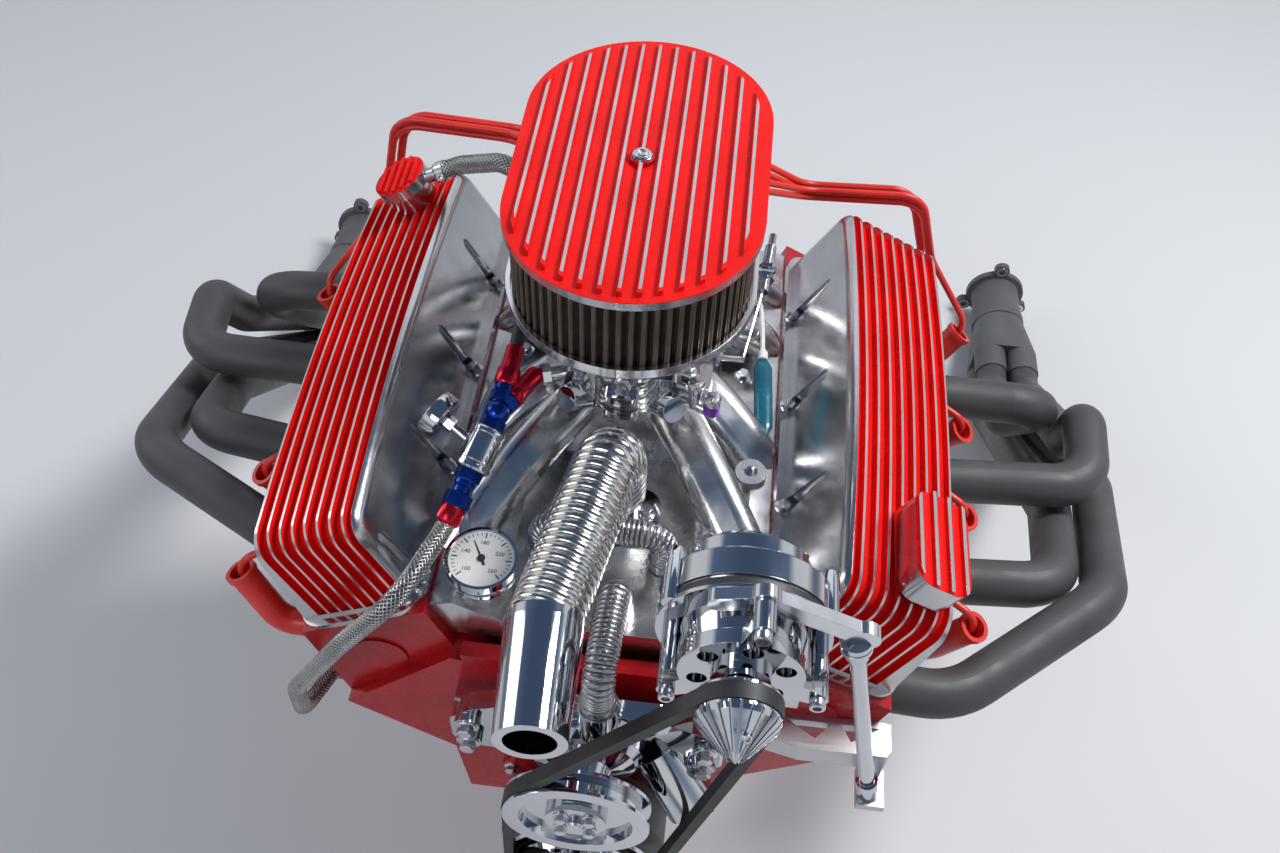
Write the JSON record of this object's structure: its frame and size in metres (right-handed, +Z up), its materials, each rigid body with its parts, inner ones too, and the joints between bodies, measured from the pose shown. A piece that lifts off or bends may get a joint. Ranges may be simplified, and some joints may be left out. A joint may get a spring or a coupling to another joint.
{
  "type": "dressed v8 engine",
  "caption": "V8 car engine dressed for a hot rod: finned valve covers, oval finned air cleaner, belt-driven pump and alternator, tubular exhaust headers.",
  "frame": {"origin": "centre of the four rear bolt holes, on the block's rear face, on the crankshaft axis", "axes": "+Y along the crankshaft towards the gearbox, the belt drive faces -Y, +Z up, X across the banks"},
  "size_m": [1.187, 1.2035, 0.8776],
  "materials": {
    "red_paint": "gloss engine paint",
    "cast_aluminium": "cast and hand polished",
    "polished_aluminium": "polished, red paint between the fins",
    "filter_paper": "dark oiled gauze",
    "chrome": "mirror",
    "stainless_hose": "ribbed or braided, polished",
    "black_rubber": "satin",
    "red_rubber": "moulded silicone",
    "blue_anodised": "anodised",
    "dark_steel": "satin black",
    "header_coat": "matt heat-proof coat"
  },
  "bodies": {
    "engine": {"block": "red_paint", "oil_pan": "red_paint", "head_right": "red_paint", "head_left": "red_paint", "valve_cover_right": "polished_aluminium", "valve_cover_left": "polished_aluminium", "filler_cap": "polished_aluminium", "breather": "polished_aluminium", "intake_manifold": "cast_aluminium", "carburettor": "polished_aluminium", "air_cleaner_base": "polished_aluminium", "air_filter": "filter_paper", "air_cleaner_lid": "polished_aluminium", "water_outlet": "chrome", "radiator_hose": "stainless_hose", "hose_sleeve": "chrome", "bypass_hose": "stainless_hose", "heater_hose": "stainless_hose", "distributor": "cast_aluminium", "distributor_cap": "red_rubber", "plug_boots_right": "red_rubber", "plug_boots_left": "red_rubber", "plug_wires_right": "red_rubber", "plug_wires_left": "red_rubber", "timing_cover": "red_paint", "water_pump": "chrome", "alternator_case": "chrome", "alternator_bracket": "polished_aluminium", "alternator_brace": "polished_aluminium", "adjusting_rod": "chrome", "lower_bracket": "polished_aluminium", "belt": "black_rubber", "engine_mount_right": "dark_steel", "engine_mount_left": "dark_steel", "fuel_pump": "chrome", "starter": "dark_steel", "oil_filter": "dark_steel", "header_right": "header_coat", "header_left": "header_coat", "collector_right": "header_coat", "collector_left": "header_coat", "temperature_gauge": "chrome", "fuel_filter": "blue_anodised", "fuel_hose": "stainless_hose", "breather_hose": "black_rubber"},
    "crank": {"crank_damper": "dark_steel", "crank_pulley": "chrome", "crank_flange": "dark_steel"},
    "pump": {"pump_pulley": "chrome"},
    "rotor": {"alternator_rotor": "chrome"}
  },
  "joints": [
    {"name": "crank_spin", "type": "hinge", "parent": "engine", "child": "crank", "pos_m": [0, -0.597, 0], "axis": [0, 1, 0], "continuous": true},
    {"name": "pump_spin", "type": "hinge", "parent": "engine", "child": "pump", "pos_m": [0, -0.597, 0.136], "axis": [0, 1, 0], "continuous": true},
    {"name": "alternator_spin", "type": "hinge", "parent": "engine", "child": "rotor", "pos_m": [0.116, -0.597, 0.353], "axis": [0, 1, 0], "continuous": true}
  ],
  "couplings": [
    {"joint": "pump_spin", "follows": "crank_spin", "ratio": 1.0645},
    {"joint": "alternator_spin", "follows": "crank_spin", "ratio": 2.129}
  ]
}
